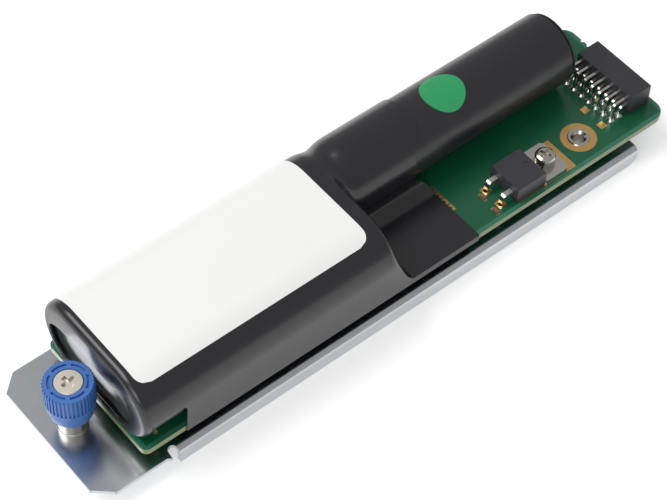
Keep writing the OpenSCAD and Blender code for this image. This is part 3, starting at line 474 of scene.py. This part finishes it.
@dataclass
class FilmWrap:
    """Black shrink film round the two front cells, draped to a flat web beside the rear cell."""

    cells: CellPlaces
    wall: float = 0.3
    front_round: float = 1.7
    cutout_len: float = 10.8
    cutout_round: float = 2.2
    cutout_gap: float = 0.03
    edge_round: float = 0.6
    hollow_r: float = 4.0
    rear_dip: float = 4.2
    lip_gap: float = 0.15
    n_base: int = 8
    n_edge: int = 6
    n_low: int = 10
    n_high: int = 3
    n_arc: int = 40
    n_top: int = 30

    def __post_init__(self) -> None:
        """Derives the film's own lines from the frame."""
        low, high = box_mm("shrink_film")
        _, board = box_mm("circuit_board")
        self.x0, self.end_x = low.x, high.x
        self.under_z = low.z
        self.r = high.z - self.cells.cell_z
        self.edge_y = board.y + 0.4
        self.web_z = self.cells.board_top + 0.4
        self.lip_z = self.cells.board_top + self.lip_gap
        self.cut_x = self.x0 + self.front_round + self.cutout_gap
        self.cut_end = self.x0 + self.cutout_len
        self.cut_top = self.cells.cell_z - 0.2
        rise = self.cells.cell_z - self.web_z - self.hollow_r
        run = math.sqrt((self.r + self.hollow_r) ** 2 - rise ** 2)
        self.hollow_y = self.cells.cell_y - run
        self.hollow_end = math.degrees(math.atan2(rise, run))

    def cut_height(self, x: float) -> float:
        """Height of the side cut-out's edge row at a place along the film.

        Args:
            x: Place along the film.

        Returns:
            The row's height.
        """
        into = min(max(x - (self.cut_end - self.cutout_round), 0.0), self.cutout_round)
        return self.cut_top - self.cutout_round + math.sqrt(max(self.cutout_round ** 2 - into ** 2, 0.0))

    @staticmethod
    def arc(y: float, z: float, r: float, a0: float, a1: float, n: int, r_z: float | None = None) -> Section:
        """Points on an arc, its end left out.

        Args:
            y: Centre across.
            z: Centre height.
            r: Radius across.
            a0: First angle in degrees.
            a1: End angle, not reached.
            n: Number of points.
            r_z: Radius upwards, when it differs.

        Returns:
            The points.
        """
        angles = [math.radians(lerp(a0, a1, i / n)) for i in range(n)]
        return [(y + r * math.cos(a), z + (r_z or r) * math.sin(a)) for a in angles]

    @staticmethod
    def line(a: Point, b: Point, n: int) -> Section:
        """n points from a towards b, with b left out."""
        return [(lerp(a[0], b[0], i / n), lerp(a[1], b[1], i / n)) for i in range(n)]

    @staticmethod
    def whole(near: Section, top: Section, far: Section) -> Section:
        """Joins the near half, the top and the mirror image of a near half."""
        return near + top + [(-y, z) for y, z in reversed(far[1:])]

    def side_rows(self, x: float, top: Point) -> Section:
        """Rows from under the board up the side to a point, with one row on the cut-out's edge.

        Args:
            x: Place along the film.
            top: The point where the rows end, not included.

        Returns:
            The rows.
        """
        y, z, e = -self.edge_y, self.under_z, self.edge_round
        cut = min(self.cut_height(x), top[1] - 0.3)
        cut_y = lerp(y, top[0], (cut - z - e) / (top[1] - z - e))
        return (self.line((0, z), (y + e, z), self.n_base) + self.arc(y + e, z + e, e, 270, 180, self.n_edge)
                + self.line((y, z + e), (cut_y, cut), self.n_low) + self.line((cut_y, cut), top, self.n_high))

    def full_near(self, x: float) -> Section:
        """Near half of the section over a front cell, up to the top of its round side."""
        cell = self.cells
        return (self.side_rows(x, (-cell.cell_y - self.r, cell.cell_z))
                + self.arc(-cell.cell_y, cell.cell_z, self.r, 180, 90, self.n_arc))

    def bridge(self, z: float) -> Section:
        """Flat top from one front cell to the other, far end included."""
        y = self.cells.cell_y
        return [(lerp(-y, y, i / (self.n_top - 1)), z) for i in range(self.n_top)]

    def full_section(self, x: float) -> Section:
        """Whole section round the two front cells and the board."""
        near = self.full_near(x)
        return self.whole(near, self.bridge(self.cells.cell_z + self.r), near)

    def rear_section(self, x: float) -> Section:
        """Whole section behind the near cell: flat web, hollow and the rear cell's round side."""
        y, z, cell = -self.edge_y, self.web_z, self.cells
        corner, n_corner, n_hollow = 0.35, 5, 14
        near = self.side_rows(x, (y, z - corner)) + self.arc(y + corner, z - corner, corner, 180, 90, n_corner)
        near += self.line((y + corner, z), (self.hollow_y, z), self.n_arc - n_corner)
        top = self.arc(self.hollow_y, z + self.hollow_r, self.hollow_r, 270, 360 + self.hollow_end, n_hollow)
        n_side = self.n_top - n_hollow
        start = 180 + self.hollow_end
        top += [(cell.cell_y + self.r * math.cos(math.radians(a)), cell.cell_z + self.r * math.sin(math.radians(a)))
                for a in (lerp(start, 90, i / (n_side - 1)) for i in range(n_side))]
        return self.whole(near, top, self.full_near(x))

    def outline(self, y: float, z: float, side_r: float, low_r: float, top_r: float) -> Section:
        """Near half of a rounded outline, with its own radii to the side, below and above."""
        turn = 180 + math.degrees(math.asin(min(0.2 / low_r, 1.0)))
        return (self.line((0, z - low_r), (-y, z - low_r), self.n_base)
                + self.arc(-y, z, side_r, 270, turn, self.n_edge + self.n_low, low_r)
                + self.arc(-y, z, side_r, turn, 180, self.n_high, low_r)
                + self.arc(-y, z, side_r, 180, 90, self.n_arc, top_r))

    def lip_section(self, inset: float, low_inset: float) -> Section:
        """Section in front of the cells, round below as well."""
        cell = self.cells
        r = self.r - inset
        near = self.outline(cell.cell_y, cell.cell_z, r, cell.cell_z - self.lip_z - low_inset, r)
        return self.whole(near, self.bridge(cell.cell_z + r), near)

    def mouth_section(self, grow: float) -> Section:
        """Outline of the opening in the front face, wider on the far side."""
        near_y, r, far_r, z = 7.5, 5.2 + grow, 6.8 + grow, self.cells.board_top + 6.35
        far_z, y = z + 2, self.cells.cell_y
        top = [(lerp(-near_y, y, i / (self.n_top - 1)), z + r) for i in range(self.n_top)]
        return self.whole(self.outline(near_y, z, r, r, r), top, self.outline(y, far_z, far_r, far_z - z + r, z + r - far_z))

    def rear_edge(self, p: Point) -> float:
        """Rear edge of the film at a section point."""
        cell = self.cells
        if p[0] > cell.cell_y:
            return self.end_x
        return self.end_x - self.rear_dip * smooth((p[1] - self.web_z) / 6) * (1 - smooth((p[1] - cell.cell_z - 4) / 6))

    def relief(self, x: float, p: Point) -> Point:
        """Moves a section point inwards where the film sags between the cells.

        Args:
            x: Place along the film.
            p: The point.

        Returns:
            The moved point.
        """
        cell = self.cells
        middle = (cell.front_end_x + cell.rear_x) / 2
        sag = 0.75 * math.exp(-(((x - middle) / 2.7) ** 2))
        away = Vector((p[0] - cell.cell_y, p[1] - cell.cell_z))
        share = smooth((p[0] - 1) / 6) * smooth((p[1] - cell.cell_z + 3) / 4)
        if away.length < 1e-6 or share <= 0:
            return p
        move = away.normalized() * sag * share
        return (p[0] - move.x, p[1] - move.y)

    def rings(self) -> tuple[list[list[Vector]], list[bool]]:
        """Rings of the outer face from the opening to the rear edge.

        Returns:
            The rings, and for each ring whether the side cut-out starts behind it.
        """
        cell, rings, cut = self.cells, [], []

        def add(x: float | Callable[[Point], float], section: Section, is_cut: bool = False) -> None:
            """Adds one ring at a place, or at a place for each point."""
            row = [(x(p) if callable(x) else x, p) for p in section]
            rings.append([Vector((px, *self.relief(px, p))) for px, p in row])
            cut.append(is_cut)

        for k in range(5):
            a = math.radians(90 * k / 4)
            add(self.x0 + 0.6 * (1 - math.sin(a)), self.mouth_section(0.4 * (1 - math.cos(a))))
        for k in range(13):
            a = math.radians(90 * k / 12)
            ease = 1 - math.sin(a)
            add(self.x0 + self.front_round * (1 - math.cos(a)), self.lip_section(self.front_round * ease, 0.4 * ease))
        add(self.cut_x, self.lip_section(0, 0), True)
        near_corner = self.cut_end - self.cutout_round
        for k in range(1, 6):
            x = lerp(self.cut_x, near_corner, k / 5)
            add(x, self.full_section(x), True)
        for k in range(1, 11):
            x = near_corner + self.cutout_round * math.sin(math.radians(9 * k))
            add(x, self.full_section(x), k < 10)
        start, end = cell.front_end_x + 0.1, cell.rear_x - 0.1
        for k in range(1, 21):
            x = lerp(self.cut_end, start, k / 20)
            add(x, self.full_section(x))
        full, rear = self.full_section(start), self.rear_section(start)
        for k in range(1, 41):
            t = k / 40
            s = smooth(t)
            add(lerp(start, end, t), [(lerp(a[0], b[0], s), lerp(a[1], b[1], s)) for a, b in zip(full, rear)])
        for k in range(1, 31):
            add(lambda p, t=k / 30: lerp(end, self.rear_edge(p), t), rear)
        return rings, cut

    def build(self) -> bpy.types.Object:
        """Builds the film as one smooth skin with real thickness.

        Returns:
            The film's object.
        """
        rings, cut = self.rings()
        n = len(rings[0])
        n_side = self.n_base + self.n_edge + self.n_low
        removed = set(range(n_side)) | set(range(n - n_side, n))
        faces = [[k * n + i, k * n + (i + 1) % n, (k + 1) * n + (i + 1) % n, (k + 1) * n + i]
                 for k in range(len(rings) - 1) for i in range(n) if not (cut[k] and i in removed)]
        film = mesh_object("film_wrap", [p for ring in rings for p in ring], faces, smooth=True)
        point_outwards(film)
        shell = film.modifiers.new("wall", "SOLIDIFY")
        shell.thickness = self.wall * MM
        shell.offset = -1
        shell.use_even_offset = False
        apply_modifiers(film)
        return film

    def dress(self) -> None:
        """Builds the film and puts it in place of its solid."""
        film = self.build()
        film.data.set_sharp_from_angle(angle=math.radians(50))
        finish_piece(film, Finishes.FILM.material(), TRAY_BODY)
        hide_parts("shrink_film")


# ---------------------------------------------------------------- labels


@dataclass
class BatteryLabel:
    """White label over both front cells."""

    cells: CellPlaces
    film_r: float
    corner: float = 3.0
    seat: float = 0.015
    thick: float = 0.08
    step: float = 0.7

    def __post_init__(self) -> None:
        """Reads the label's place from its solid."""
        low, high = box_mm("battery_label")
        self.x0, self.len_x = low.x, high.x - low.x
        y, z, r = self.cells.cell_y, self.cells.cell_z, self.film_r
        near_angle = math.acos(max(-1.0, min(1.0, (low.y + y) / (r + 0.1)))) if low.z > z else math.pi
        self.near_arc = r * (near_angle - math.pi / 2)
        self.far_arc = r * (math.pi / 2 - math.asin(max(-1.0, min(1.0, (low.z - z) / r)))) if low.z > z else r * math.radians(74)
        self.flat = 2 * y
        self.width = self.near_arc + self.flat + self.far_arc

    def surface(self, u: float, v: float, lift: float) -> Vector:
        """Point over the film at label coordinates.

        Args:
            u: Distance from the label's front edge, in millimetres.
            v: Distance round the film from the label's near edge.
            lift: Height above the film.

        Returns:
            The point in the row frame, in millimetres.
        """
        y, z, r = self.cells.cell_y, self.cells.cell_z, self.film_r + lift
        if v < self.near_arc:
            a = math.pi / 2 + (self.near_arc - v) / self.film_r
            return Vector((self.x0 + u, -y + r * math.cos(a), z + r * math.sin(a)))
        if v < self.near_arc + self.flat:
            return Vector((self.x0 + u, -y + v - self.near_arc, z + r))
        a = math.pi / 2 - (v - self.near_arc - self.flat) / self.film_r
        return Vector((self.x0 + u, y + r * math.cos(a), z + r * math.sin(a)))

    def sheet(self) -> bpy.types.Object:
        """Builds the label stock with round corners.

        Returns:
            The label's object.
        """
        rows = max(8, round(self.width / self.step))
        columns = 24
        top, bottom = [], []
        for i in range(rows + 1):
            v = self.width * i / rows
            edge = min(v, self.width - v)
            inset = self.corner - math.sqrt(max(self.corner ** 2 - max(self.corner - edge, 0) ** 2, 0))
            for j in range(columns + 1):
                u = lerp(inset, self.len_x - inset, j / columns)
                top.append(self.surface(u, v, self.seat + self.thick))
                bottom.append(self.surface(u, v, self.seat))
        w, total = columns + 1, len(top)
        faces = []
        for i in range(rows):
            for j in range(columns):
                a = i * w + j
                faces.append([a, a + 1, a + w + 1, a + w])
                faces.append([total + a, total + a + w, total + a + w + 1, total + a + 1])
        loop = ([j for j in range(columns)] + [i * w + columns for i in range(rows)]
                + [rows * w + j for j in range(columns, 0, -1)] + [i * w for i in range(rows, 0, -1)])
        faces += [[a, total + a, total + b, b] for a, b in zip(loop, loop[1:] + loop[:1])]
        label = mesh_object("label_stock", top + bottom, faces, smooth=True)
        point_outwards(label)
        label.data.set_sharp_from_angle(angle=math.radians(40))
        return label

    def dress(self) -> None:
        """Builds the label and puts it in place of its solid."""
        label = self.sheet()
        finish_piece(label, Finishes.LABEL.material(), TRAY_BODY)
        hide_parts("battery_label")


# ---------------------------------------------------------------- studio


@dataclass
class Studio:
    """Pale floor, soft lamps and the camera."""

    azimuth: float = -41.459
    elevation: float = 52.516
    roll: float = 2.675
    distance: float = 0.472354
    target: tuple[float, float, float] = (-0.008123, -0.003674, 0.01475)
    lens: float = 114.08

    def camera(self) -> None:
        """Places the camera on the three-quarter view from the front near side."""
        az, el, roll = (math.radians(a) for a in (self.azimuth, self.elevation, self.roll))
        back = Vector((math.cos(el) * math.sin(az), -math.cos(el) * math.cos(az), math.sin(el)))
        level = Vector((math.cos(az), math.sin(az), 0))
        upright = back.cross(level)
        right = level * math.cos(roll) + upright * math.sin(roll)
        up = back.cross(right)
        data = bpy.data.cameras.new("view_camera")
        data.lens, data.sensor_width, data.clip_start, data.clip_end = self.lens, 36.0, 0.01, 20.0
        camera = bpy.data.objects.new("view_camera", data)
        turn = Matrix((right, up, back)).transposed().to_4x4()
        camera.matrix_world = Matrix.Translation(Vector(self.target) + back * self.distance) @ turn
        bpy.context.scene.collection.objects.link(camera)
        bpy.context.scene.camera = camera

    def floor(self) -> None:
        """Lays a pale floor that looks white to the camera and in reflections, and keeps its shadow."""
        floor = mesh_object("studio_floor", [(-1500, -1500, 0), (1500, -1500, 0), (1500, 1500, 0), (-1500, 1500, 0)],
                            [[0, 1, 2, 3]])
        material = bpy.data.materials.new("pale_studio_floor")
        material.use_nodes = True
        tree = material.node_tree
        tree.nodes.clear()
        cloth = add_node(tree, "ShaderNodeBsdfDiffuse", {"Color": srgb("#F2F2F2")})
        glow = add_node(tree, "ShaderNodeEmission", {"Color": (1, 1, 1, 1), "Strength": 0.35})
        both = add_node(tree, "ShaderNodeAddShader", {}, {0: cloth.outputs[0], 1: glow.outputs[0]})
        path = add_node(tree, "ShaderNodeLightPath")
        seen = add_node(tree, "ShaderNodeMath", {}, {0: path.outputs["Is Camera Ray"], 1: path.outputs["Is Glossy Ray"]},
                        operation="MAXIMUM")
        mix = add_node(tree, "ShaderNodeMixShader", {}, {0: seen.outputs[0], 1: cloth.outputs[0], 2: both.outputs[0]})
        add_node(tree, "ShaderNodeOutputMaterial", {}, {0: mix.outputs[0]})
        floor.data.materials.append(material)

    def world(self) -> None:
        """Sets a soft sky that is white behind the object."""
        world = bpy.data.worlds.new("studio_sky")
        bpy.context.scene.world = world
        world.use_nodes = True
        tree = world.node_tree
        tree.nodes.clear()
        soft = add_node(tree, "ShaderNodeBackground", {"Color": (1, 1, 1, 1), "Strength": 0.45})
        white = add_node(tree, "ShaderNodeBackground", {"Color": (1, 1, 1, 1), "Strength": 1.0})
        path = add_node(tree, "ShaderNodeLightPath")
        mix = add_node(tree, "ShaderNodeMixShader", {},
                       {0: path.outputs["Is Camera Ray"], 1: soft.outputs[0], 2: white.outputs[0]})
        add_node(tree, "ShaderNodeOutputWorld", {}, {0: mix.outputs[0]})

    def lamp(self, name: str, place: tuple[float, float, float], size: tuple[float, float], watts: float) -> None:
        """Hangs one rectangular softbox that faces the object.

        Args:
            name: The lamp's name.
            place: Its place in metres.
            size: Its width and height in metres.
            watts: Its power.
        """
        data = bpy.data.lights.new(name, "AREA")
        data.shape, data.size, data.size_y, data.energy = "RECTANGLE", size[0], size[1], watts
        lamp = bpy.data.objects.new(name, data)
        lamp.location = place
        lamp.rotation_euler = (Vector(place) - Vector(self.target)).to_track_quat("Z", "Y").to_euler()
        bpy.context.scene.collection.objects.link(lamp)

    def build(self) -> None:
        """Sets up the whole studio."""
        self.camera()
        self.floor()
        self.world()
        self.lamp("top_softbox", (-0.45, 0.4, 1.0), (0.9, 0.6), 8)
        self.lamp("side_softbox", (-0.8, -0.5, 0.6), (0.6, 0.6), 3)
        bpy.context.scene.view_settings.view_transform = "Standard"


def main() -> None:
    """Builds every sub-assembly in order."""
    logging.basicConfig(level=logging.INFO, format="%(name)s %(message)s")
    Studio().build()
    for node, finish in NODE_FINISHES.items():
        dress_node(node, finish.material())
    cells = CellPlaces.from_frame()
    film = FilmWrap(cells)
    film.dress()
    BatteryLabel(cells, film.r).dress()


if __name__ == "__main__":
    main()
